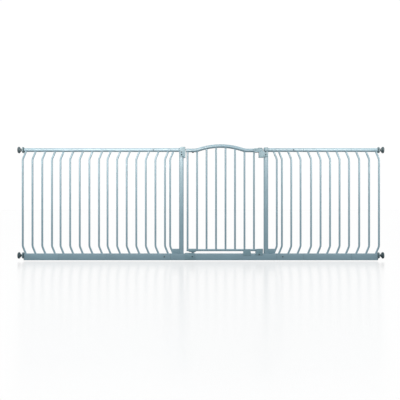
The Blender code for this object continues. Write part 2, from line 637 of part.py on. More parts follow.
# ---- Latch side: catch, cradle and stop ------------------------------------------------
catch = block("latch_catch", (SHELF_LEFT, PLATE_FRONT - 0.0015, 0.709),
              (0.462, PLATE_BACK, SHELF_TOP), rounding=0.0012)
POST_LEFT_FACE = RIGHT_POST - POST_WIDTH / 2
shelf = block("shelf", (SHELF_LEFT, PLATE_BACK - 0.002, 0.705),
              (POST_LEFT_FACE - GAP, 0.0125, SHELF_TOP), rounding=0.0012)
cap_plate = block("cap_plate", (0.435, PLATE_FRONT - 0.0015, 0.712), (0.462, PLATE_BACK, 0.776),
                  rounding=0.0014)
cap_lid = block("cap_lid", (0.435, PLATE_BACK - 0.002, POST_TOP + GAP), (0.462, 0.0125, 0.776),
                rounding=0.0012)
join(catch, shelf, cap_plate, cap_lid)
pocket = block("pocket", (TOOTH_LEFT - LATCH_TRAVEL - 0.001, -0.0058, TOOTH_LOW - 0.0015),
               (TOOTH_RIGHT + 0.001, 0.03, 0.76))
cut(catch, pocket, *[screw_hole(CATCH_SCREW_X, z, -0.03, 0) for z in CATCH_SCREWS])
finish(catch, PLASTIC)
for number, z in enumerate(CATCH_SCREWS, start=1):
    add_screw(f"catch_screw_{number}", CATCH_SCREW_X, z, PLATE_FRONT - 0.0015, 0.010)

UPRIGHT_BACK = -DOOR_FOOT_RADIUS - 0.001
CRADLE_BED = DOOR_FOOT - DOOR_FOOT_RADIUS - GAP
cradle = block("bottom_cradle", (0.374, PLATE_FRONT, 0.035), (0.426, PLATE_BACK, 0.079),
               rounding=0.001)
cradle_bed = block("cradle_bed", (0.374, PLATE_BACK - 0.002, FOOT_HEIGHT + GAP),
                   (0.426, 0.0125, CRADLE_BED), rounding=0.001)
cradle_front = block("cradle_front", (0.374, PLATE_BACK - 0.002, 0.055),
                     (0.426, UPRIGHT_BACK, 0.079), rounding=0.001)
cradle_end = block("cradle_end", (DOOR_FOOT_RIGHT + 0.001, PLATE_BACK - 0.002, 0.055),
                   (0.426, 0.0125, 0.079), rounding=0.001)
join(cradle, cradle_bed, cradle_front, cradle_end)
cut(cradle, screw_hole(*CRADLE_SCREW, -0.03, 0))
finish(cradle, PLASTIC)
add_screw("cradle_screw", *CRADLE_SCREW, PLATE_FRONT, 0.009)

stop = block("one_way_stop", (0.290, PLATE_FRONT, 0.032), (0.345, PLATE_BACK, 0.076),
             rounding=0.001)
stop_hook = block("stop_hook", (0.290, PLATE_BACK - 0.002, FOOT_HEIGHT + GAP),
                  (0.345, 0.008, SADDLE_TOP + 0.002), rounding=0.001)
stop_upright = block("stop_upright", (0.290, PLATE_BACK - 0.002, 0.048),
                     (0.345, UPRIGHT_BACK, 0.076), rounding=0.001)
join(stop, stop_hook, stop_upright)
finish(stop, PLASTIC)
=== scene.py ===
"""Looks of the wide safety gate: smooth tubes, welds, moulded plastic and screw threads.

Every piece is built in the frame's own metres and rides on the body whose solids it shows.
"""
import json
from math import atan, cos, pi, radians, sin, sqrt, tan

import bmesh
import bpy
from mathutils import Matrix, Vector


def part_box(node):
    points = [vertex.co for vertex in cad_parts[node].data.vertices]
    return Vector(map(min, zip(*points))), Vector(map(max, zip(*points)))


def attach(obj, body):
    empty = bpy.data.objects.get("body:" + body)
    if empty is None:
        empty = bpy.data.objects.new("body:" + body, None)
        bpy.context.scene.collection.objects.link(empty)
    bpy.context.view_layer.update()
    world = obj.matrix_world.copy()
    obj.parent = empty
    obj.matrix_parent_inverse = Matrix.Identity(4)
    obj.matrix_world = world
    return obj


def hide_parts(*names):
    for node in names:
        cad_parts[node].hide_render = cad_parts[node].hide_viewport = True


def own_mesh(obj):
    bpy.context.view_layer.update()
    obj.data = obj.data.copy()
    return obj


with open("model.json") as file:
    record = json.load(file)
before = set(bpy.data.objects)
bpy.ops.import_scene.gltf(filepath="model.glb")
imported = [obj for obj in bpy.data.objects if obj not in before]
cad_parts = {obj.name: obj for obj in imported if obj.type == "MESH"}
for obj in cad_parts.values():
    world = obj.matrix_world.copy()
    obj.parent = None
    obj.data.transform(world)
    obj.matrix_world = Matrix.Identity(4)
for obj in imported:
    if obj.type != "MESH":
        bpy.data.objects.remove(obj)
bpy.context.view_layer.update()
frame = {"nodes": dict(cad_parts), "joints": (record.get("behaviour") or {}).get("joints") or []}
NODES = frame["nodes"]
X, Y, Z = Vector((1, 0, 0)), Vector((0, 1, 0)), Vector((0, 0, 1))

# ---- Driving dimensions in metres, as the solids have them ----
GAP = 0.0003  # between pieces that would touch
BAR_RADIUS = 0.0065
BOW = 0.0206  # from a bar's ends to its straight stretch
BOW_ANGLE = radians(22.5)
BEND_RADIUS = 0.05
TUBE_WALL = 0.0015
WELD = 0.0011  # radius of a weld bead
LIFT = 0.008  # travel of the door's lift and of the latch
THREAD_PITCH = 0.0015

threshold_low, threshold_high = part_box("threshold_rail")
FOOT_TOP = threshold_high.z
FRONT, BACK = threshold_low.y, threshold_high.y
RAIL_HEIGHT = sum(corner.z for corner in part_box("left_top_wheel_nut")) / 2
RAIL_RADIUS = 0.013
swing = next(joint for joint in frame["joints"] if joint["name"] == "door_swing")
HINGE_X = swing["pos_m"][0]
ARM_LOW, ARM_HIGH = 0.7575, 0.7615  # the hinge's arm, inside the door's tube
ARM_HALF = 0.008


# ---- Meshes ----
SHARP = 35  # degrees; a flatter edge is shaded smooth
LEAST_RADIUS = 0.00001  # stands for a point on a lathe's axis
MERGE = 0.000012  # points closer than this become one
FLAT = 1e-7  # an edge that rises less lies in its plane


def turns(count):
    """Angles of even steps round a circle."""
    return [2 * pi * k / count for k in range(count)]


def link_object(name, data):
    """A new object in the scene."""
    obj = bpy.data.objects.new(name, data)
    bpy.context.scene.collection.objects.link(obj)
    return obj


class Form:
    """Collects closed shells and turns them into one piece."""

    def __init__(self):
        self.verts = []
        self.faces = []

    def loft(self, rings, loop=False):
        """Skins a row of rings with the same number of points."""
        start, sides, count = len(self.verts), len(rings[0]), len(rings)
        for ring in rings:
            self.verts.extend(ring)
        for i in range(count if loop else count - 1):
            here, there = start + i * sides, start + (i + 1) % count * sides
            for k in range(sides):
                after = (k + 1) % sides
                self.faces.append((here + k, here + after, there + after, there + k))
        if not loop:
            end = start + (count - 1) * sides
            self.faces.append(tuple(range(start + sides - 1, start - 1, -1)))
            self.faces.append(tuple(range(end, end + sides)))

    def tube(self, points, radius, sides, closed=False):
        """A round tube along points; radius is a number or one number for each point."""
        points = [Vector(p) for p in points]
        count = len(points)
        radii = radius if isinstance(radius, (list, tuple)) else [radius] * count
        rings, side = [], None
        for i, point in enumerate(points):
            before = points[i - 1] if closed or i else point
            after = points[(i + 1) % count] if closed or i < count - 1 else point
            way = (after - before).normalized()
            if side is None:
                side = way.orthogonal() if abs(way.dot(Y)) > 0.9 else Y.copy()
            side = (side - way * side.dot(way)).normalized()
            over = way.cross(side)
            rings.append([point + radii[i] * (cos(a) * side + sin(a) * over)
                          for a in turns(sides)])
        self.loft(rings, loop=closed)

    def pipe(self, start, end, outlines):
        """A hollow tube along X from one outer and one inner outline of (y, z) points."""
        outer, inner = outlines
        lip = 0.0004
        rings = [self.ring_at(start, outer, lip), self.ring_at(start + lip, outer),
                 self.ring_at(end - lip, outer), self.ring_at(end, outer, lip),
                 self.ring_at(end, inner), self.ring_at(start, inner)]
        self.loft(rings, loop=True)

    @staticmethod
    def ring_at(x, outline, inset=0.0):
        """The outline in the plane x, shrunk towards its middle by the inset."""
        middle = sum((Vector((x, y, z)) for y, z in outline), Vector()) / len(outline)
        ring = []
        for y, z in outline:
            arm = Vector((x, y, z)) - middle
            ring.append(middle + arm * (1 - inset / arm.length))
        return ring

    def lathe(self, profile, place, axis, steps, closed=False):
        """Spins a profile of (radius, height) about the axis through place."""
        turn = Vector(axis).to_track_quat("Z", "Y")
        place = Vector(place)
        rings = []
        for radius, height in profile:
            radius = max(radius, LEAST_RADIUS)
            rings.append([place + turn @ Vector((radius * cos(a), radius * sin(a), height))
                          for a in turns(steps)])
        self.loft(rings, loop=closed)

    def block(self, low, high, rounding, segments=3):
        """A box with rounded edges."""
        low, high = Vector(low), Vector(high)
        body = bmesh.new()
        bmesh.ops.create_cube(body, size=1.0)
        bmesh.ops.scale(body, vec=high - low, verts=body.verts)
        bmesh.ops.translate(body, vec=(low + high) / 2, verts=body.verts)
        bmesh.ops.bevel(body, geom=body.edges, offset=rounding, segments=segments,
                        profile=0.5, affect="EDGES")
        self.take(body)

    def slab(self, outline, near, far, rounding, segments=3, level=False):
        """A plate of an outline with rounded edges: (x, z) points from near to far along y,
        or (x, y) points along z where it lies level."""
        body = bmesh.new()
        place = (lambda u, v: (u, v, near)) if level else (lambda u, v: (u, near, v))
        face = body.faces.new([body.verts.new(place(u, v)) for u, v in outline])
        grown = bmesh.ops.extrude_face_region(body, geom=[face])
        moved = [v for v in grown["geom"] if isinstance(v, bmesh.types.BMVert)]
        way = Z if level else Y
        bmesh.ops.translate(body, vec=way * (far - near), verts=moved)
        bmesh.ops.recalc_face_normals(body, faces=body.faces)
        rims = [e for e in body.edges
                if abs((e.verts[0].co - e.verts[1].co).dot(way)) < FLAT]
        bmesh.ops.bevel(body, geom=rims, offset=rounding, segments=segments, profile=0.5,
                        affect="EDGES", clamp_overlap=True)
        self.take(body)

    def take(self, body):
        """Adds a bmesh's shell and frees it."""
        start = len(self.verts)
        body.verts.ensure_lookup_table()
        body.verts.index_update()
        self.verts.extend(v.co.copy() for v in body.verts)
        for face in body.faces:
            self.faces.append(tuple(start + v.index for v in face.verts))
        body.free()

    def make(self, name, sharp=SHARP):
        """Turns the shells into one object."""
        mesh = bpy.data.meshes.new(name)
        mesh.from_pydata(self.verts, [], self.faces)
        body = bmesh.new()
        body.from_mesh(mesh)
        bmesh.ops.remove_doubles(body, verts=body.verts, dist=MERGE)
        bmesh.ops.recalc_face_normals(body, faces=body.faces)
        body.to_mesh(mesh)
        body.free()
        mesh.shade_smooth()
        mesh.set_sharp_from_angle(angle=radians(sharp))
        return link_object(name, mesh)


def combine(obj, form, operation):
    """Applies a boolean of the piece with the form's shells."""
    other = form.make("tool")
    modifier = obj.modifiers.new("Combine", "BOOLEAN")
    modifier.operation = operation
    modifier.solver = "EXACT"
    modifier.use_self = True
    modifier.object = other
    bpy.context.view_layer.update()
    evaluated = obj.evaluated_get(bpy.context.evaluated_depsgraph_get())
    mesh = bpy.data.meshes.new_from_object(evaluated)
    obj.modifiers.clear()
    obj.data = mesh
    mesh.shade_smooth()
    mesh.set_sharp_from_angle(angle=radians(SHARP))
    bpy.data.objects.remove(other, do_unlink=True)


def cut(obj, form):
    """Takes the form's shells out of the piece."""
    combine(obj, form, "DIFFERENCE")


def join(obj, *forms):
    """Welds the forms' shells onto the piece."""
    for form in forms:
        combine(obj, form, "UNION")


def show(obj, finish, body, *nodes):
    """Gives a piece its material and its body, and hides the solids it stands for."""
    material, slot = finish
    obj.data.materials.clear()
    obj.data.materials.append(material)
    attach(obj, body)
    if nodes:
        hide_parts(*nodes)
    return obj


# ---- Outlines ----
def rectangle(left, bottom, right, top):
    """Corners (u, v) of an upright rectangle."""
    return [(left, bottom), (right, bottom), (right, top), (left, top)]


def rounded_box(half_width, half_height, radius, steps=6):
    """Points (u, v) of a rectangle with round corners, about its middle."""
    points = []
    corners = [(1, 1, 0), (-1, 1, 1), (-1, -1, 2), (1, -1, 3)]
    for side, up, quarter in corners:
        u, v = side * (half_width - radius), up * (half_height - radius)
        for k in range(steps + 1):
            a = pi / 2 * (quarter + k / steps)
            points.append((u + radius * cos(a), v + radius * sin(a)))
    return points


MOST_OF_SIDE = 0.48  # share of a side that one round corner may take


def soften(outline, radius, steps=6):
    """The outline with its corners rounded."""
    points = [Vector(p) for p in outline]
    rounded = []
    for i, corner in enumerate(points):
        before, after = points[i - 1] - corner, points[(i + 1) % len(points)] - corner
        reach = min(radius, before.length * MOST_OF_SIDE, after.length * MOST_OF_SIDE)
        start, end = corner + before.normalized() * reach, corner + after.normalized() * reach
        for k in range(steps + 1):
            t = k / steps
            rounded.append(tuple((1 - t) ** 2 * start + 2 * t * (1 - t) * corner + t ** 2 * end))
    return rounded


def foot_outlines():
    """Outer and inner section of the flat bottom rail, as (y, z) points."""
    middle = FOOT_TOP / 2
    return [[(y, middle + z) for y, z in rounded_box(BACK - wall, middle - wall, corner)]
            for wall, corner in ((0, 0.0035), (TUBE_WALL, 0.0022))]


def rail_outlines():
    """Outer and inner section of the round top rail, as (y, z) points."""
    return [[(radius * cos(a), RAIL_HEIGHT + radius * sin(a)) for a in turns(32)]
            for radius in (RAIL_RADIUS, RAIL_RADIUS - TUBE_WALL)]


# ---- Materials ----
def add_node(tree, kind, **values):
    """A new shader node; an underscore in an input's name stands for a space."""
    node = tree.nodes.new(f"ShaderNode{kind}")
    for name, value in values.items():
        node.inputs[name.replace("_", " ")].default_value = value
    return node


def add_ramp(tree, source, stops):
    """Colours along a value, through (position, colour) stops."""
    node = add_node(tree, "ValToRGB")
    elements = node.color_ramp.elements
    while len(elements) < len(stops):
        elements.new(0.5)
    for element, (position, colour) in zip(elements, stops):
        element.position = position
        element.color = (*colour, 1.0)
    tree.links.new(source, node.inputs["Fac"])
    return node.outputs["Color"]


def mix_shaders(tree, first, second, share=None, **values):
    """The first shader where the share is 0, the second where it is 1."""
    node = add_node(tree, "MixShader", **values)
    if share is not None:
        tree.links.new(share, node.inputs["Fac"])
    tree.links.new(first.outputs[0], node.inputs[1])
    tree.links.new(second.outputs[0], node.inputs[2])
    return node


NOISE_LOW, NOISE_HIGH = 0.3, 0.7  # the middle range of a noise, where most of it lies


class Shader:
    """A Principled material with a few node helpers."""

    def __init__(self, name, roughness, metallic=0.0):
        self.material = bpy.data.materials.new(name)
        self.material.use_nodes = True
        self.tree = self.material.node_tree
        self.main = self.tree.nodes["Principled BSDF"]
        self.main.inputs["Roughness"].default_value = roughness
        self.main.inputs["Metallic"].default_value = metallic
        self.place = add_node(self.tree, "TexCoord").outputs["Object"]

    def link(self, source, target):
        self.tree.links.new(source, target)

    def noise(self, scale, detail=2.0, stretch=None):
        """Noise of so many grains for each metre, stretched along an axis if need be."""
        node = add_node(self.tree, "TexNoise", Scale=scale, Detail=detail, Roughness=0.5)
        where = self.place
        if stretch:
            mapping = add_node(self.tree, "Mapping", Scale=stretch)
            self.link(self.place, mapping.inputs["Vector"])
            where = mapping.outputs["Vector"]
        self.link(where, node.inputs["Vector"])
        return node.outputs["Fac"]

    def cloudy(self, noise, colour, dark, light):
        """The base colour, shaded by the noise."""
        stops = [(NOISE_LOW, shade(colour, dark)), (NOISE_HIGH, shade(colour, light))]
        self.link(add_ramp(self.tree, noise, stops), self.main.inputs["Base Color"])

    def roughness(self, noise, low, high):
        """Roughness from the noise."""
        node = add_node(self.tree, "MapRange", From_Min=NOISE_LOW, From_Max=NOISE_HIGH,
                        To_Min=low, To_Max=high)
        self.link(noise, node.inputs["Value"])
        self.link(node.outputs["Result"], self.main.inputs["Roughness"])

    def bump(self, source, distance, strength, under=None):
        """Relief so many metres deep, over the relief under it."""
        node = add_node(self.tree, "Bump", Distance=distance, Strength=strength)
        self.link(source, node.inputs["Height"])
        if under is not None:
            self.link(under, node.inputs["Normal"])
        self.link(node.outputs["Normal"], self.main.inputs["Normal"])
        return node.outputs["Normal"]


def shade(colour, factor):
    """The colour made lighter or darker."""
    return tuple(min(1.0, channel * factor) for channel in colour)


def powder_coat(name, colour):
    """Satin powder coat: a faint orange peel, fine grain and slight cloudiness."""
    coat = Shader(name, 0.42)
    coat.cloudy(coat.noise(9.0, 3.0), colour, 0.95, 1.05)
    coat.roughness(coat.noise(220.0), 0.36, 0.48)
    peel = coat.bump(coat.noise(420.0, 1.0), 0.00008, 0.5)
    coat.bump(coat.noise(2600.0, 1.0), 0.00002, 0.5, under=peel)
    coat.main.inputs["Specular IOR Level"].default_value = 0.9
    coat.main.inputs["Coat Weight"].default_value = 0.15
    coat.main.inputs["Coat Roughness"].default_value = 0.25
    return coat.material


def moulded(name, colour, roughness=0.5):
    """Moulded plastic with a fine sparked grain and soft wear in its gloss."""
    plastic = Shader(name, roughness)
    plastic.cloudy(plastic.noise(22.0, 3.0), colour, 0.94, 1.06)
    plastic.roughness(plastic.noise(140.0, 3.0), roughness - 0.07, roughness + 0.07)
    plastic.bump(plastic.noise(1500.0), 0.00005, 0.6)
    return plastic.material


def plated(name, colour, roughness=0.32):
    """Zinc-plated steel: cloudy plating over fine drawn lines."""
    steel = Shader(name, roughness, metallic=1.0)
    steel.cloudy(steel.noise(75.0), colour, 0.82, 1.12)
    steel.roughness(steel.noise(300.0), roughness - 0.08, roughness + 0.1)
    steel.bump(steel.noise(500.0, stretch=(0.06, 1.0, 1.0)), 0.00003, 0.5)
    return steel.material


def rubbery(name, colour):
    """Dull rubber with a pebbled skin."""
    rubber = Shader(name, 0.8)
    rubber.cloudy(rubber.noise(60.0, 3.0), colour, 0.85, 1.2)
    rubber.bump(rubber.noise(1100.0), 0.00012, 0.7)
    return rubber.material


# each finish: material, slot
COAT = powder_coat("powder_coat", (0.193, 0.292, 0.350)), "painted_steel"
PLASTIC = moulded("grey_moulding", (0.188, 0.280, 0.325)), "grey_plastic"
DARK = moulded("slate_moulding", (0.072, 0.105, 0.120), 0.45), "slate_plastic"
NUT = moulded("nut_moulding", (0.115, 0.168, 0.190), 0.42), "slate_plastic"
RUBBER = rubbery("pad_rubber", (0.03, 0.035, 0.036)), "slate_plastic"
STEEL = plated("zinc_plate", (0.56, 0.57, 0.58)), "zinc_steel"
BLACKED = plated("blacked_screw", (0.035, 0.042, 0.048), 0.45), "zinc_steel"
THREAD = plated("dark_thread", (0.17, 0.19, 0.20), 0.36), "zinc_steel"


# ---- Bars and welds ----
BAR_BAND = (0.10, 0.12)  # heights between which every bar is straight
BAR_SPACE = 0.02  # points further apart than this are on two bars
BAR_SINK = 0.003  # how far a bar's end runs into its rail
BEND_STEPS = 7
BEAD_STEPS, BEAD_SIDES = 28, 8


def bar_middles(node):
    """Where a node's bars stand, read from the ends of their straight stretches."""
    low, high = BAR_BAND
    groups = []
    for x in sorted(v.co.x for v in NODES[node].data.vertices if low < v.co.z < high):
        if groups and x - groups[-1][-1] < BAR_SPACE:
            groups[-1].append(x)
        else:
            groups.append([x])
    return [(group[0] + group[-1]) / 2 for group in groups]


def bowed_points(x, side, low, high):
    """Middle line of a bowed bar whose straight stretch stands at x."""
    rise = BOW / tan(BOW_ANGLE)
    back_off = BEND_RADIUS * tan(BOW_ANGLE / 2)
    ends = []
    for edge, up in ((low, 1), (high, -1)):
        knee = Vector((x, 0, edge + up * rise))
        centre = knee + Vector((-side * BEND_RADIUS, 0, up * back_off))
        angles = [BOW_ANGLE * (1 - i / BEND_STEPS) for i in range(BEND_STEPS + 1)]
        arc = [centre + BEND_RADIUS * Vector((side * cos(a), 0, -up * sin(a))) for a in angles]
        outward = Vector((-side * sin(BOW_ANGLE), 0, -up * cos(BOW_ANGLE)))
        ends.append([Vector((x - side * BOW, 0, edge)) + BAR_SINK * outward, *arc])
    bottom, top = ends
    return bottom + top[::-1]


def weld_on_flat(form, tip, way, height):
    """A bead where a bar along way meets a level face."""
    over = way.cross(Y)
    points = []
    for a in turns(BEAD_STEPS):
        point = tip + BAR_RADIUS * (cos(a) * over + sin(a) * Y)
        points.append(point + way * ((height - point.z) / way.z))
    form.tube(points, WELD, BEAD_SIDES, closed=True)


def weld_on_round(form, tip, way, centre, along, radius, below=True):
    """A bead where a bar along way meets a round tube through centre."""
    over = way.cross(Y)
    normal = along.cross(Y).normalized()
    if normal.z < 0:
        normal = -normal
    points = []
    for a in turns(BEAD_STEPS):
        offset = BAR_RADIUS * (cos(a) * over + sin(a) * Y)
        depth = sqrt(max(radius ** 2 - offset.y ** 2, 0)) * (-1 if below else 1)
        point = tip + offset
        points.append(point + way * ((depth - (point - centre).dot(normal)) / way.dot(normal)))
    form.tube(points, WELD, BEAD_SIDES, closed=True)


def add_bowed_bar(form, x, side):
    """One bowed bar with its weld beads."""
    line = bowed_points(x, side, FOOT_TOP, RAIL_HEIGHT - RAIL_RADIUS)
    form.tube(line, BAR_RADIUS, 20)
    weld_on_flat(form, line[0], (line[1] - line[0]).normalized(), FOOT_TOP)
    weld_on_round(form, line[-1], (line[-2] - line[-1]).normalized(),
                  Vector((0, 0, RAIL_HEIGHT)), X, RAIL_RADIUS)


# ---- Extension panels and threshold ----
def foot_span(node):
    """The ends of a node's rails, read from the bottom of its foot."""
    xs = [v.co.x for v in NODES[node].data.vertices if v.co.z < FOOT_TOP / 2]
    return min(xs), max(xs)


def panel_tubes(node, side):
    """A panel's two rails and its bowed bars."""
    form = Form()
    start, end = foot_span(node)
    form.pipe(start, end, rail_outlines())
    form.pipe(start, end, foot_outlines())
    for x in bar_middles(node):
        add_bowed_bar(form, x, side)
    show(form.make(f"{node}_tubes"), COAT, "frame", node)


for panel_end, panel_side in (("left", -1), ("right", 1)):
    for panel in ("inner", "middle", "outer"):
        panel_tubes(f"{panel_end}_{panel}_panel", panel_side)

threshold = Form()
threshold.pipe(threshold_low.x, threshold_high.x, foot_outlines())
show(threshold.make("threshold_tube"), COAT, "frame", "threshold_rail")


# ---- Posts ----
POST_CORNER = 0.0095
POST_INSET = 0.006  # how far the rail's stub starts inside the post
GUSSET_TOP, GUSSET_DEPTH = 0.078, 0.006
GUSSET_INSET, GUSSET_TOE = 0.004, 0.0015
FEW = 0.0005  # slack for reading a face's points


def post_frame(node, side):
    """A flat-oval post with its rail stub, wing bar and gusset."""
    low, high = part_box(node)
    base = low.z
    feet = [v.co.x for v in NODES[node].data.vertices
            if v.co.z < base + FEW and abs(v.co.y) > GUSSET_DEPTH + 2 * FEW]
    left, right = min(feet), max(feet)
    middle, half = (left + right) / 2, (right - left) / 2
    form = Form()
    section = rounded_box(half, BACK, POST_CORNER, 8)
    inside = rounded_box(half - TUBE_WALL, BACK - TUBE_WALL, POST_CORNER - TUBE_WALL, 8)
    rings = [[Vector((middle + u, v, z)) for u, v in outline]
             for outline, z in ((section, base), (section, high.z), (inside, high.z),
                                (inside, base))]
    form.loft(rings, loop=True)
    face = right if side > 0 else left
    stub_end = threshold_high.x if side > 0 else threshold_low.x
    form.pipe(*sorted((face - side * POST_INSET, stub_end)), rail_outlines())
    wing_x = bar_middles(node)[0 if side < 0 else -1]
    add_bowed_bar(form, wing_x, side)
    toe = wing_x - side * BOW + side * GUSSET_TOE
    inner = face - side * GUSSET_INSET
    lean = side * tan(BOW_ANGLE) * (GUSSET_TOP - base)
    gusset = [(inner, base), (toe, base), (toe + lean, GUSSET_TOP), (inner, GUSSET_TOP)]
    form.slab(gusset, -GUSSET_DEPTH, GUSSET_DEPTH, 0.0015)
    collar = [Vector((face + side * 0.0002, RAIL_RADIUS * cos(a),
                      RAIL_HEIGHT + RAIL_RADIUS * sin(a))) for a in turns(36)]
    form.tube(collar, WELD, BEAD_SIDES, closed=True)
    foot_ring = [Vector((middle + u, v, base + 0.0006)) for u, v in section]
    form.tube(foot_ring, WELD * 0.9, 6, closed=True)
    show(form.make(f"{node}_tubes"), COAT, "frame", node)


post_frame("left_post_frame", -1)
post_frame("right_post_frame", 1)

# ---- Screws ----
SCREW_SHANK = 0.002
HEAD_SPREAD = 1.15  # the photographed heads look this much wider
# shares of the head's radius and of its rise above the seat
PAN_PROFILE = [(1, 0), (1, 0.35), (0.95, 0.62), (0.8, 0.84), (0.5, 0.97)]
RECESS_REACH, RECESS_HALF, RECESS_DEPTH = 0.55, 0.13, 0.6


def pan_screw(node):
    """A pan-head screw with a cross recess."""
    low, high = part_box(node)
    x, z = (low.x + high.x) / 2, (low.z + high.z) / 2
    head = (high.x - low.x) / 2
    seat = max(v.co.y for v in NODES[node].data.vertices
               if Vector((v.co.x - x, v.co.z - z)).length > 0.8 * head)
    head *= HEAD_SPREAD
    rise, depth = seat - low.y, high.y - seat
    form = Form()
    shank = [(0, -depth), (SCREW_SHANK * 0.4, -depth), (SCREW_SHANK, -depth + 0.0015),
             (SCREW_SHANK, 0)]
    dome = [(head * wide, rise * up) for wide, up in PAN_PROFILE]
    form.lathe(shank + dome + [(0, rise)], (x, seat, z), -Y, 32)
    obj = form.make(f"{node}_head")
    recess = Form()
    arm, narrow = head * RECESS_REACH, head * RECESS_HALF
    for u, v in ((arm, narrow), (narrow, arm)):
        recess.block((x - u, low.y - 0.001, z - v), (x + u, low.y + rise * RECESS_DEPTH, z + v),
                     0.0001, 1)
    cut(obj, recess)
    show(obj, BLACKED, "frame", node)


for screw in [name for name in sorted(NODES) if "screw" in name and "spindle" not in name]:
    pan_screw(screw)

for joiner in [name for name in NODES if name.endswith("joiner")]:
    for material_slot in NODES[joiner].material_slots:
        material_slot.material = PLASTIC[0]


# ---- Wall spindles ----
LOBES, LOBE_DEPTH, LOBE_STEPS = 6, 0.0030, 90
# radius, share of the lobes, distance from the rail's end
NUT_RIM = [(0.0053, 0, 0.0006), (0.0104, 0, 0.0006), (0.0110, 0, 0.0014), (0.0148, 0.3, 0.0016),
           (0.0160, 0.6, 0.0010), (0.0180, 0.9, 0.0000), (0.0198, 1, 0.0008),
           (0.0207, 1, 0.0020), (0.0210, 1, 0.0036), (0.0210, 1, 0.0078), (0.0207, 1, 0.0094),
           (0.0198, 1, 0.0106), (0.0180, 0.9, 0.0113), (0.0158, 0.5, 0.0106),
           (0.0142, 0.2, 0.0096), (0.0112, 0, 0.0096), (0.0106, 0, 0.0102),
           (0.0104, 0, 0.0128), (0.0095, 0, 0.0135), (0.0053, 0, 0.0135)]
# radius, distance from the wall
CUP_DISH = [(0.0001, -0.0062), (0.0053, -0.0062), (0.0053, -0.0180), (0.0106, -0.0180),
            (0.0114, -0.0174), (0.0118, -0.0140), (0.0130, -0.0116), (0.0155, -0.0096),
            (0.0190, -0.0086), (0.0215, -0.0082), (0.0223, -0.0074), (0.0225, -0.0062),
            (0.0225, -0.0042), (0.0221, -0.0034), (0.0210, -0.0030), (0.0001, -0.0030)]
CUP_RIB = [(0.0100, -0.0165), (0.0140, -0.0138), (0.0190, -0.0106), (0.0217, -0.0088)]
PAD_SKIN = [(0.0001, -0.0034), (0.0206, -0.0034), (0.0214, -0.0028), (0.0216, -0.0010),
            (0.0211, 0), (0.0185, 0), (0.0180, -0.0008), (0.0172, -0.0008), (0.0167, 0),
            (0.0001, 0)]
RIBS, RIB_THICKNESS, RIB_ROOT = 8, 0.0007, 0.0060
THREAD_ROOT = 0.0042  # radius between the thread's crests
LEAD_IN = 0.0012  # the thread fades out over this at the rod's ends
PLUG_BORE = 0.0054
PLUG_TOE = 0.010  # height of the slope under a square plug


def wheel_nut(name, out, place):
    """The lobed hand wheel."""
    form, rings = Form(), []
    for radius, lobed, along in NUT_RIM:
        ring = []
        for a in turns(LOBE_STEPS):
            r = radius - LOBE_DEPTH * lobed * (1 - cos(LOBES * a)) ** 2 / 4
            ring.append(place + out * along + r * (cos(a) * Z + sin(a) * Y))
        rings.append(ring)
    form.loft(rings, loop=True)
    show(form.make(f"{name}_wheel_nut_lobed"), NUT, f"{name}_nut", f"{name}_wheel_nut")


def wall_cup(name, out, place):
    """The dished cup with its ribs, and the rubber pad that meets the wall."""
    form = Form()
    form.lathe(CUP_DISH, place, out, 64)
    for k in range(RIBS):
        a = 2 * pi * (k + 0.5) / RIBS
        arm = cos(a) * Z + sin(a) * Y
        thick = RIB_THICKNESS * out.cross(arm)
        rings = []
        for radius, back in CUP_RIB:
            crest = place + arm * radius
            rings.append([crest + out * back - thick * 0.6, crest + out * back + thick * 0.6,
                          crest - out * RIB_ROOT + thick, crest - out * RIB_ROOT - thick])
        form.loft(rings)
    show(form.make(f"{name}_wall_cup_dish"), DARK, f"{name}_spindle", f"{name}_wall_cup")
    pad = Form()
    pad.lathe(PAD_SKIN, place, out, 64)
    show(pad.make(f"{name}_wall_cup_pad"), RUBBER, f"{name}_spindle")


def threaded_rod(name, place):
    """The M10 rod with its helical thread."""
    low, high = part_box(f"{name}_spindle_screw")
    start, end = low.x, high.x
    sides, rings_per_turn = 24, 6
    crest_height = (high.y - low.y) / 2 - THREAD_ROOT
    count = round((end - start) / THREAD_PITCH * rings_per_turn)
    rings = []
    for i in range(count + 1):
        x = start + (end - start) * i / count
        edge = min(1.0, min(x - start, end - x) / LEAD_IN)
        ring = []
        for k, a in enumerate(turns(sides)):
            phase = (x / THREAD_PITCH - k / sides) % 1
            crest = min(1.0, abs(2 * phase - 1) * 1.25)
            r = THREAD_ROOT + crest_height * crest * edge
            ring.append(Vector((x, place.y + r * cos(a), place.z + r * sin(a))))
        rings.append(ring)
    form = Form()
    form.loft(rings)
    show(form.make(f"{name}_threaded_rod", 60), THREAD, f"{name}_spindle",
         f"{name}_spindle_screw")


def round_plug(name, out, place, end):
    """The bush in a round rail's end."""
    form = Form()
    flange, insert = RAIL_RADIUS, RAIL_RADIUS - TUBE_WALL - GAP
    profile = [(PLUG_BORE, 0), (PLUG_BORE, -0.023), (insert - 0.001, -0.023), (insert, -0.0215),
               (insert, -0.0120), (insert - 0.0008, -0.0115), (insert - 0.0008, -0.0095),
               (insert, -0.0090), (insert, -0.0031), (flange - 0.0003, -0.0030),
               (flange, -0.0026), (flange, -0.0010), (flange - 0.001, 0)]
    form.lathe(profile, place + out * (end - place.dot(out)), out, 40, closed=True)
    show(form.make(f"{name}_rail_bush"), DARK, "frame", f"{name}_rail_plug")


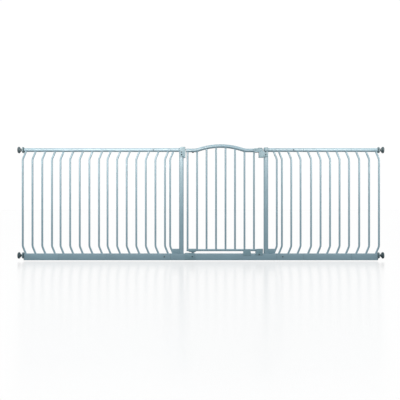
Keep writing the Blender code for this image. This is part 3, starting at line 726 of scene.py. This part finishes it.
def square_plug(name, out, place, end):
    """The bush in a flat rail's end, with its sloped toe."""
    side = out.x
    inner = side * (end - 0.003)
    form = Form()
    outline = [(inner, 0), (inner + side * 0.0012, 0), (side * end, PLUG_TOE),
               (side * end, FOOT_TOP), (inner, FOOT_TOP)]
    form.slab(outline, FRONT, BACK, 0.0006, 2)
    near, far = sorted((inner - side * 0.020, inner + side * 0.001))
    skin = TUBE_WALL + GAP
    form.block((near, FRONT + skin, skin), (far, BACK - skin, FOOT_TOP - skin), 0.0015)
    obj = form.make(f"{name}_rail_bush")
    bore = Form()
    bore.lathe([(0, -0.04), (PLUG_BORE, -0.04), (PLUG_BORE, 0.01), (0, 0.01)],
               place + out * (end - place.dot(out)), out, 32)
    cut(obj, bore)
    show(obj, DARK, "frame", f"{name}_rail_plug")


for side_name, out_way in (("left", -X), ("right", X)):
    outer = 1 if out_way.x > 0 else 0
    for level, plug in (("top", round_plug), ("bottom", square_plug)):
        spindle = f"{side_name}_{level}"
        nut_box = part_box(f"{spindle}_wheel_nut")
        nut_start = nut_box[1 - outer].x
        wall = Vector((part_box(f"{spindle}_wall_cup")[outer].x, 0,
                       (nut_box[0].z + nut_box[1].z) / 2))
        wheel_nut(spindle, out_way, Vector((nut_start, 0, wall.z)))
        wall_cup(spindle, out_way, wall)
        threaded_rod(spindle, wall)
        plug(spindle, out_way, wall, abs(nut_start) - GAP)


# ---- Hinge ----
FACE = FRONT - GAP  # back of the plates on the front of posts and threshold
BRACKET_RIGHT = -0.1063
COLUMN_WIDTH, CHEEK_WIDTH = 0.0125, 0.0105
# radius, height
SCREW_RING = [(0.0001, -0.001), (0.0052, -0.001), (0.0052, 0.0002), (0.0046, 0.0007),
              (0.0040, 0.0007), (0.0038, 0.0001), (0.0001, 0.0001)]
BOLT_DOME = [(0, 0), (0.0030, 0.0001), (0.0050, 0.0006), (0.0062, 0.0016), (0.0065, 0.0026)]
BOLT_SEAT, BOLT_SHANK = 0.004, 0.004
PIN_RADIUS = 0.003
TRUMPET_FOOT, TRUMPET_SPREAD, TRUMPET_CURVE, TRUMPET_RIM = 0.0042, 0.0106, 2.2, 0.0150
# distance from the sleeve's end, depth below its side
SLEEVE_RIDGES = [(0, 0.0022), (0.0008, 0.0008), (0.0024, 0), (0.0060, 0), (0.0066, 0.0006),
                 (0.0076, 0.0006), (0.0082, 0)]


def upper_hinge():
    """The moulded bracket on the hinge post, its arm and the pivot bolt."""
    low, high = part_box("upper_hinge_bracket")
    right = BRACKET_RIGHT
    lobe = right - COLUMN_WIDTH
    plate_front = low.y + 0.0008
    post_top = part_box("left_post_frame")[1].z + GAP
    form = Form()
    plate = rectangle(low.x, low.z + 0.010, lobe + 0.002, high.z - 0.001)
    form.slab(soften(plate, 0.006), plate_front, FACE, 0.0014)
    cap = rectangle(low.x + 0.0008, post_top, right - 0.001, high.z - 0.0012)
    form.slab(cap, FACE - 0.002, BACK, 0.0015)
    column = [(lobe, low.z), (right, low.z), (right, high.z - 0.014), (right - 0.0065, high.z),
              (lobe, high.z)]
    form.slab(soften(column, 0.0062, 8), low.y - 0.0014, FACE, 0.0024, 4)
    cheek = rectangle(right - CHEEK_WIDTH, low.z + 0.001, right - 0.0004, high.z - 0.001)
    form.slab(soften(cheek, 0.003), FACE - 0.002, BACK - 0.0002, 0.0015)
    for number in (2, 1):
        middle = sum(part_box(f"upper_hinge_screw_{number}"), Vector()) / 2
        form.lathe(SCREW_RING, (middle.x, plate_front, middle.z), -Y, 36)
    root = right - 0.004
    nose = [(HINGE_X + ARM_HALF * sin(a), -ARM_HALF * cos(a)) for a in turns(32)[1:16]]
    arm = [(root, -ARM_HALF), (HINGE_X, -ARM_HALF), *nose, (HINGE_X, ARM_HALF), (root, ARM_HALF)]
    form.slab(arm, ARM_LOW, ARM_HIGH, 0.0005, 2, level=True)
    show(form.make("upper_hinge_bracket_moulding"), PLASTIC, "frame", "upper_hinge_bracket")

    bolt_low, bolt_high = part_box("upper_pivot_bolt")
    length = bolt_high.z - bolt_low.z
    bolt = Form()
    bolt.lathe([*BOLT_DOME, (0.0065, BOLT_SEAT), (BOLT_SHANK, BOLT_SEAT),
                (BOLT_SHANK, length - 0.0005), (0.0035, length), (0, length)],
               (HINGE_X, 0, bolt_low.z), Z, 40)
    show(bolt.make("upper_pivot_bolt_dome"), BLACKED, "hinge_pins", "upper_pivot_bolt")


def lower_hinge():
    """The trumpet-shaped pivot, the sleeve on the door's tube and the moulding below."""
    low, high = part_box("lower_hinge_base")
    form = Form()
    plate = rectangle(low.x, low.z, high.x, high.z - 0.0004)
    form.slab(soften(plate, 0.007), low.y, FACE, 0.0013)
    margin = 0.005
    panel = rectangle(low.x + margin, low.z + margin, high.x - margin, high.z - 0.007)
    form.slab(soften(panel, margin), low.y - 0.0006, FACE - 0.001, 0.0005, 2)
    saddle = rectangle(low.x + 0.001, FOOT_TOP + GAP, high.x - 0.001, high.z)
    form.slab(soften(saddle, 0.0012, 3), low.y + 0.0006, BACK, 0.0009)
    show(form.make("lower_hinge_base_moulding"), PLASTIC, "frame", "lower_hinge_base")

    cone_low, cone_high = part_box("lower_pivot_cone")
    sleeve_low, sleeve_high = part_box("lower_hinge_sleeve")
    rim = sleeve_low.z - GAP
    foot = high.z + GAP
    flare = []
    steps = 9
    for i in range(steps + 1):
        t = i / steps
        flare.append((TRUMPET_FOOT + TRUMPET_SPREAD * t ** TRUMPET_CURVE,
                      foot + (rim - 0.0011 - foot) * t))
    pin, tip = PIN_RADIUS, PIN_RADIUS * 0.7
    cone = Form()
    cone.lathe([(0, cone_low.z), (tip, cone_low.z), (pin, cone_low.z + 0.001), (pin, foot),
                *flare, (TRUMPET_RIM, rim - 0.0008), (TRUMPET_RIM, rim - 0.0002), (0.0148, rim),
                (pin, rim), (pin, cone_high.z - 0.0005), (tip, cone_high.z), (0, cone_high.z)],
               (HINGE_X, 0, 0), Z, 48)
    show(cone.make("lower_pivot_cone_trumpet"), PLASTIC, "hinge_pins", "lower_pivot_cone")

    sleeve = Form()
    middle, half = (sleeve_low.z + sleeve_high.z) / 2, (sleeve_high.z - sleeve_low.z) / 2
    length = sleeve_high.x - sleeve_low.x
    rings = SLEEVE_RIDGES + [(length - along, shrink) for along, shrink in SLEEVE_RIDGES[::-1]]
    sections = []
    for along, shrink in rings:
        outline = rounded_box(sleeve_high.y - shrink, half - shrink, 0.0062, 8)
        sections.append([Vector((sleeve_low.x + along, u, middle + v)) for u, v in outline])
    sleeve.loft(sections)
    show(sleeve.make("lower_hinge_sleeve_moulding"), PLASTIC, "door", "lower_hinge_sleeve")


upper_hinge()
lower_hinge()


# ---- Door ----
DOOR_RADIUS = 0.0125
DOOR_HEIGHT = 0.7555
DOOR_LEFT, DOOR_RIGHT = -0.103, 0.384
ARCH_MIDDLE, ARCH_HALF, ARCH_RISE, ARCH_FOOT = 0.1357, 0.186, 0.030, 0.120
ARCH_ANGLE = 2 * atan(ARCH_RISE / ARCH_HALF)
CROWN_RADIUS = ARCH_HALF / sin(ARCH_ANGLE) - ARCH_FOOT
DOOR_FOOT, DOOR_FOOT_RADIUS = 0.069, 0.0075
FOOT_LEFT, FOOT_RIGHT = -0.0985, 0.4205
FIRST_BAR, LAST_BAR, DOOR_BARS = -0.0916, 0.3659, 8
BAR_INSET = 0.0075  # keeps the first bar's top clear of the hinge's arm
TUBE_LIP = 0.0006
# distance from the bottom tube's end, inset of its side
FOOT_LIP = [(0, 0.0012), (0.0006, 0.0003), (0.0014, 0)]


def arch(x):
    """Height and slope of the arched tube's middle line at x."""
    u = x - ARCH_MIDDLE
    knee = CROWN_RADIUS * sin(ARCH_ANGLE)
    if abs(u) < knee:
        drop = sqrt(CROWN_RADIUS ** 2 - u ** 2)
        return DOOR_HEIGHT + ARCH_RISE - CROWN_RADIUS + drop, -u / drop
    if abs(u) < ARCH_HALF:
        left = ARCH_HALF - abs(u)
        drop = sqrt(ARCH_FOOT ** 2 - left ** 2)
        return DOOR_HEIGHT + ARCH_FOOT - drop, -(left / drop) * (1 if u > 0 else -1)
    return DOOR_HEIGHT, 0.0


def door():
    """The arched door: top tube, eight bars and the thin bottom tube, with their welds."""
    steps = 120
    start, end = ARCH_MIDDLE - ARCH_HALF, ARCH_MIDDLE + ARCH_HALF
    places = [DOOR_LEFT, DOOR_LEFT + TUBE_LIP,
              *(start + (end - start) * i / steps for i in range(steps + 1)),
              DOOR_RIGHT - TUBE_LIP, DOOR_RIGHT]
    lip = DOOR_RADIUS - TUBE_LIP
    form = Form()
    form.tube([(x, 0, arch(x)[0]) for x in places],
              [lip] + [DOOR_RADIUS] * (len(places) - 2) + [lip], 32)
    tube = form.make("door_frame_tubes")
    slot = Form()
    slot.block((DOOR_LEFT - 0.01, -ARM_HALF - 0.0005, ARM_LOW - LIFT - 2 * GAP),
               (HINGE_X + 0.009, 0.02, ARM_HIGH + GAP), 0.0004, 1)
    cut(tube, slot)

    bars = Form()
    ends = [(FOOT_LEFT + along, DOOR_FOOT_RADIUS - inset) for along, inset in FOOT_LIP]
    ends += [(FOOT_RIGHT + FOOT_LEFT - x, r) for x, r in ends[::-1]]
    bars.tube([(x, 0, DOOR_FOOT) for x, _ in ends], [r for _, r in ends], 24)
    for i in range(DOOR_BARS):
        x = FIRST_BAR + (LAST_BAR - FIRST_BAR) * i / (DOOR_BARS - 1)
        height, slope = arch(x)
        foot, top = Vector((x, 0, DOOR_FOOT)), Vector((x, 0, height))
        bars.tube([foot, top - BAR_INSET * Z], BAR_RADIUS, 20)
        weld_on_round(bars, top, -Z, top, Vector((1, 0, slope)).normalized(), DOOR_RADIUS)
        weld_on_round(bars, foot, Z, foot, X, DOOR_FOOT_RADIUS, below=False)
    show(tube, COAT, "door", "door_frame")
    show(bars.make("door_frame_bars"), COAT, "door")


door()


# ---- Handle and latch ----
HANDLE_STEP, HANDLE_NOSE = 0.3974, 0.7483  # where the shell steps up over the keep
GRIPS = (0.3735, 0.3785, 0.3835, 0.3885)
TOOTH_LEFT, TOOTH_RIGHT = 0.4115, 0.4215
STEM_LEFT, STEM_RIGHT = 0.4025, 0.4125
RUN = 0.0006  # room beside what slides in the shell
BOLT_ROOM, TOOTH_ROOM, STEM_ROOM = 0.008, 0.0053, 0.0043  # half depths of its hollows
RIDGES = 5
WIRE, COILS, COIL_STEPS = 0.0006, 4, 16


def handle_shell(bolt_low, bolt_high, spring_low):
    """The moulded shell, hollow for the bolt and the button's stem."""
    low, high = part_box("handle_shell")
    outline = [(low.x, low.z + 0.0040), (low.x + 0.012, low.z), (HANDLE_STEP, low.z),
               (HANDLE_STEP, HANDLE_NOSE), (high.x, HANDLE_NOSE), (high.x, bolt_high.z + 0.001),
               (high.x - 0.0068, high.z - 0.002), (low.x + 0.006, high.z - 0.0006),
               (low.x, high.z - 0.003)]
    form = Form()
    form.slab(soften(outline, 0.0045), low.y, high.y, 0.0042, 5)
    shell = form.make("handle_shell_moulding")
    cavity = Form()
    for x in GRIPS:
        for y in (low.y, high.y):
            cavity.block((x - 0.0008, y - 0.0007, low.z + 0.006),
                         (x + 0.0008, y + 0.0007, high.z - 0.007), 0.0006, 2)
    cavity.block((spring_low.x - 0.0008, -BOLT_ROOM, bolt_low.z + 0.0132),
                 (bolt_high.x + 0.0005, BOLT_ROOM, bolt_high.z + GAP), 0.0004, 1)
    cavity.block((TOOTH_LEFT - LIFT - RUN, -TOOTH_ROOM, HANDLE_NOSE - 0.01),
                 (TOOTH_RIGHT + RUN, TOOTH_ROOM, bolt_low.z + 0.016), 0.0004, 1)
    cavity.block((STEM_LEFT - LIFT - RUN, -STEM_ROOM, bolt_high.z - 0.002),
                 (STEM_RIGHT + RUN, STEM_ROOM, high.z + 0.01), 0.0004, 1)
    cut(shell, cavity)
    show(shell, PLASTIC, "door", "handle_shell")


def latch_button(shell_top, stem_low):
    """The ridged button on the handle's top, with its stem down to the bolt."""
    low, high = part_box("latch_button")
    button = Form()
    button.slab(soften(rectangle(low.x, low.y, high.x, high.y), 0.004), shell_top + GAP,
                high.z - 0.0005, 0.0007, 3, level=True)
    for i in range(RIDGES):
        x = low.x + 0.005 + i * (high.x - low.x - 0.010) / (RIDGES - 1)
        button.block((x - 0.0009, low.y + 0.002, shell_top + 0.001),
                     (x + 0.0009, high.y - 0.002, high.z), 0.0005, 2)
    button.block((STEM_LEFT, -0.004, stem_low), (STEM_RIGHT, 0.004, shell_top + 0.0015), 0.0004,
                 1)
    show(button.make("latch_button_ridged"), DARK, "latch", "latch_button")


def latch_bolt(low, high):
    """The steel bolt with the tooth that drops into the keep."""
    body_low, tooth_half = low.z + 0.0138, 0.005
    bolt = Form()
    bolt.block((low.x, low.y, body_low), high, 0.0008, 2)
    bolt.slab([(TOOTH_LEFT, low.z + 0.003), (TOOTH_LEFT + 0.002, low.z),
               (TOOTH_RIGHT - 0.0008, low.z), (TOOTH_RIGHT, low.z + 0.0008),
               (TOOTH_RIGHT, body_low + 0.003), (TOOTH_LEFT, body_low + 0.003)],
              -tooth_half, tooth_half, 0.0005, 2)
    show(bolt.make("latch_bolt_tooth"), STEEL, "latch", "latch_bolt")


def latch_spring(low, high):
    """The coil that pushes the bolt out."""
    middle = (low.z + high.z) / 2
    reach = (high.z - low.z) / 2 - WIRE
    coil = []
    for i in range(COILS * COIL_STEPS + 1):
        a = 2 * pi * i / COIL_STEPS
        x = low.x + WIRE + (high.x - low.x - 2 * WIRE) * i / (COILS * COIL_STEPS)
        coil.append((x, reach * cos(a), middle + reach * sin(a)))
    spring = Form()
    spring.tube(coil, WIRE, 8)
    coiled = show(spring.make("latch_spring_coil"), STEEL, "door", "latch_spring")
    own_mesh(coiled)


bolt_box, spring_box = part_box("latch_bolt"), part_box("latch_spring")
handle_shell(*bolt_box, spring_box[0])
latch_button(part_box("handle_shell")[1].z, bolt_box[0].z + 0.022)
latch_bolt(*bolt_box)
latch_spring(*spring_box)


# ---- Latch side ----
WALL_BACK = -DOOR_FOOT_RADIUS - 0.001  # back of the walls before the door's bottom tube
SHELF_TOP, SHELF_RIGHT = 0.748, 0.4306
CAP_LEFT, CAP_LOW = 0.4345, 0.7500
POCKET_LOW, POCKET_HIGH = (0.4025, -0.0058, 0.7365), (0.4225, 0.03, 0.76)
SPLIT, SEAM = 0.4175, 0.0006
CRADLE_END = 0.4215
# left, right, bottom, top of the lines in the cradle's front
GROOVES = [(0.3800, 0.4095, 0.0524, 0.0540), (0.4205, 0.4225, 0.0615, 0.0765)]


def latch_catch():
    """The keep on the latch post: a boxed shelf under the handle and a domed cap."""
    low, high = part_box("latch_catch")
    box = Form()
    box.slab(soften(rectangle(low.x, low.z, SHELF_RIGHT, SHELF_TOP), 0.0028), low.y, BACK,
             0.0020, 4)
    body = box.make("latch_catch_moulding")
    front = Form()
    plate = rectangle(low.x + 0.004, low.z + 0.005, high.x, SHELF_TOP - 0.002)
    front.slab(soften(plate, 0.003), low.y + 0.0006, FACE, 0.0012)
    dome = [(CAP_LEFT, CAP_LOW), (high.x, CAP_LOW), (high.x, high.z - 0.014),
            (high.x - 0.009, high.z - 0.003), (CAP_LEFT + 0.008, high.z),
            (CAP_LEFT, high.z - 0.003)]
    front.slab(soften(dome, 0.006), low.y - 0.0016, FACE, 0.0022, 4)
    lid = Form()
    lid.block((CAP_LEFT + 0.0007, FACE - 0.002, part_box("right_post_frame")[1].z + GAP),
              (high.x - 0.0006, BACK - 0.0002, high.z - 0.0010), 0.0014)
    join(body, front, lid)
    pocket = Form()
    pocket.block(POCKET_LOW, POCKET_HIGH, 0.0005, 1)
    pocket.block((SPLIT - SEAM / 2, low.y - 0.003, low.z + 0.004),
                 (SPLIT + SEAM / 2, low.y + 0.0007, SHELF_TOP + 0.002), 0.0002, 1)
    cut(body, pocket)
    show(body, PLASTIC, "frame", "latch_catch")


def bottom_cradle():
    """The cradle that the door's bottom tube drops into when it is shut."""
    low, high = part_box("bottom_cradle")
    rail_top = FOOT_TOP + GAP
    slope = [(high.x, high.z), (low.x + 0.012, high.z), (low.x + 0.005, high.z - 0.010)]
    front = Form()
    outline = [(low.x, low.z), (high.x, low.z), *slope, (low.x + 0.001, high.z - 0.024)]
    front.slab(soften(outline, 0.005), low.y, FACE, 0.0014)
    body = front.make("bottom_cradle_moulding")
    wall = Form()
    upper = [(low.x + 0.002, rail_top), (high.x, rail_top), *slope]
    wall.slab(soften(upper, 0.004), low.y + 0.002, WALL_BACK, 0.0011)
    bed = Form()
    bed_side = rectangle(low.x + 0.002, rail_top, high.x - 0.0005,
                         DOOR_FOOT - DOOR_FOOT_RADIUS - GAP)
    bed.slab(soften(bed_side, 0.0015, 3), low.y + 0.003, BACK, 0.0010)
    end = Form()
    end.block((CRADLE_END, low.y + 0.0025, FOOT_TOP + 0.004),
              (high.x - 0.0002, BACK, high.z - 0.0003), 0.0013)
    join(body, wall, bed, end)
    grooves = Form()
    for left, right, bottom, top in GROOVES:
        grooves.block((left, low.y - 0.001, bottom), (right, low.y + 0.0012, top), 0.0004, 1)
    cut(body, grooves)
    show(body, PLASTIC, "frame", "bottom_cradle")


def one_way_stop():
    """The clip on the threshold that the door's bottom tube closes against."""
    low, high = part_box("one_way_stop")
    front = Form()
    outline = [(low.x, low.z), (high.x, low.z), (high.x, low.z + 0.018),
               (high.x - 0.004, low.z + 0.028), (high.x - 0.005, high.z),
               (low.x + 0.004, high.z), (low.x, low.z + 0.030)]
    front.slab(soften(outline, 0.005), low.y, FACE, 0.0013)
    body = front.make("one_way_stop_moulding")
    wall = Form()
    upper = [(low.x + 0.001, FOOT_TOP + 0.004), (high.x - 0.002, FOOT_TOP + 0.004),
             (high.x - 0.006, high.z - 0.001), (low.x + 0.005, high.z - 0.001)]
    wall.slab(soften(upper, 0.004), low.y + 0.002, WALL_BACK, 0.0010)
    hook = Form()
    hook.block((low.x + 0.001, low.y + 0.0025, FOOT_TOP + GAP),
               (high.x - 0.001, high.y, FOOT_TOP + 0.0053), 0.0010)
    join(body, wall, hook)
    show(body, PLASTIC, "frame", "one_way_stop")


latch_catch()
bottom_cradle()
one_way_stop()

# ---- Floor, light and camera ----
WHITE = (1, 1, 1, 1)
FLOOR_HEIGHT, FLOOR_HALF = -0.006, 20.0
FLOOR_GLOSS, FLOOR_GLOW, FLOOR_ROUGHNESS = 0.33, 1.09, 0.22
BACKDROP = 1.02  # strength of the white that the camera sees
SKY, HORIZON, GROUND = 0.58, 1.45, 0.06
SKY_COLOUR = (0.93, 1.05, 1.07, 1)
# (height, strength), where 0 is straight down, 0.5 level and 1 straight up
SEEN_STOPS = [(0.0, BACKDROP), (1.0, BACKDROP)]
MIRRORED_STOPS = [(0.0, GROUND), (0.44, 0.12), (0.495, BACKDROP), (1.0, BACKDROP)]
LIT_STOPS = [(0.0, GROUND), (0.30, GROUND), (0.50, HORIZON), (1.0, SKY)]
SOFT_BOXES = [("left_box", -0.70, 1.45), ("right_box", 0.95, 0.90)]  # middle, width in x
BOX_FRONT, BOX_HEIGHT, BOX_AIM, BOX_DEPTH = -1.0, 1.08, 0.85, 0.35
BOX_SPREAD = radians(80)
BOX_STRENGTH = 5.0  # watts for each metre of soft box
BOX_COLOUR = (1.0, 0.89, 0.81)
CAMERA_SIDE, CAMERA_DISTANCE, CAMERA_HEIGHT = -0.006, 3.6, 0.414
FRAME_WIDTH = 2.756  # what the picture spans at the gate
SENSOR = 36.0


def add_floor():
    """A white floor with a faint shine, as in a product photograph."""
    mesh = bpy.data.meshes.new("floor")
    body = bmesh.new()
    bmesh.ops.create_grid(body, x_segments=1, y_segments=1, size=FLOOR_HALF)
    body.to_mesh(mesh)
    body.free()
    floor = link_object("floor", mesh)
    floor.location = (0, 0, FLOOR_HEIGHT)
    material = bpy.data.materials.new("pale_floor")
    material.use_nodes = True
    tree = material.node_tree
    tree.nodes.clear()
    white = add_node(tree, "Emission", Color=WHITE, Strength=FLOOR_GLOW)
    shine = add_node(tree, "BsdfGlossy", Roughness=FLOOR_ROUGHNESS)
    surface = mix_shaders(tree, white, shine, Fac=FLOOR_GLOSS)
    clear = add_node(tree, "BsdfTransparent")
    rays = add_node(tree, "LightPath")
    shown = mix_shaders(tree, clear, surface, rays.outputs["Is Camera Ray"])
    output = add_node(tree, "OutputMaterial")
    tree.links.new(shown.outputs[0], output.inputs["Surface"])
    mesh.materials.append(material)


def add_world():
    """White to the camera; to the object a white wall to mirror and a band of soft light."""
    world = bpy.data.worlds.new("studio")
    bpy.context.scene.world = world
    world.use_nodes = True
    tree = world.node_tree
    tree.nodes.clear()
    place = add_node(tree, "TexCoord")
    split = add_node(tree, "SeparateXYZ")
    height = add_node(tree, "MapRange", From_Min=-1.0, From_Max=1.0)
    tree.links.new(place.outputs["Generated"], split.inputs[0])
    tree.links.new(split.outputs["Z"], height.inputs["Value"])
    lights = []
    for colour, stops in ((WHITE, SEEN_STOPS), (WHITE, MIRRORED_STOPS), (SKY_COLOUR, LIT_STOPS)):
        light = add_node(tree, "Background", Color=colour)
        greys = [(position, (value, value, value)) for position, value in stops]
        tree.links.new(add_ramp(tree, height.outputs["Result"], greys), light.inputs["Strength"])
        lights.append(light)
    seen, mirrored, lit = lights
    rays = add_node(tree, "LightPath")
    around = mix_shaders(tree, lit, mirrored, rays.outputs["Is Glossy Ray"])
    view = mix_shaders(tree, around, seen, rays.outputs["Is Camera Ray"])
    output = add_node(tree, "OutputWorld")
    tree.links.new(view.outputs[0], output.inputs["Surface"])


def add_soft_box(name, x, width):
    """A long soft box above the front of the gate, shining at its upper half."""
    light = bpy.data.lights.new(name, "AREA")
    light.shape = "RECTANGLE"
    light.size, light.size_y = width, BOX_DEPTH
    light.spread = BOX_SPREAD
    light.energy = BOX_STRENGTH * width
    light.color = BOX_COLOUR
    box = link_object(name, light)
    box.visible_camera = False
    place, target = Vector((x, BOX_FRONT, BOX_HEIGHT)), Vector((x, 0, BOX_AIM))
    box.location = place
    box.rotation_euler = (target - place).to_track_quat("-Z", "Y").to_euler()


def add_camera():
    """The photograph's view: level, from the front."""
    data = bpy.data.cameras.new("camera")
    data.sensor_width = SENSOR
    data.lens = SENSOR * CAMERA_DISTANCE / FRAME_WIDTH
    camera = link_object("camera", data)
    camera.location = (CAMERA_SIDE, -CAMERA_DISTANCE, CAMERA_HEIGHT)
    camera.rotation_euler = (pi / 2, 0, 0)
    bpy.context.scene.camera = camera


add_floor()
add_world()
for soft_box in SOFT_BOXES:
    add_soft_box(*soft_box)
add_camera()
bpy.context.scene.view_settings.view_transform = "Standard"
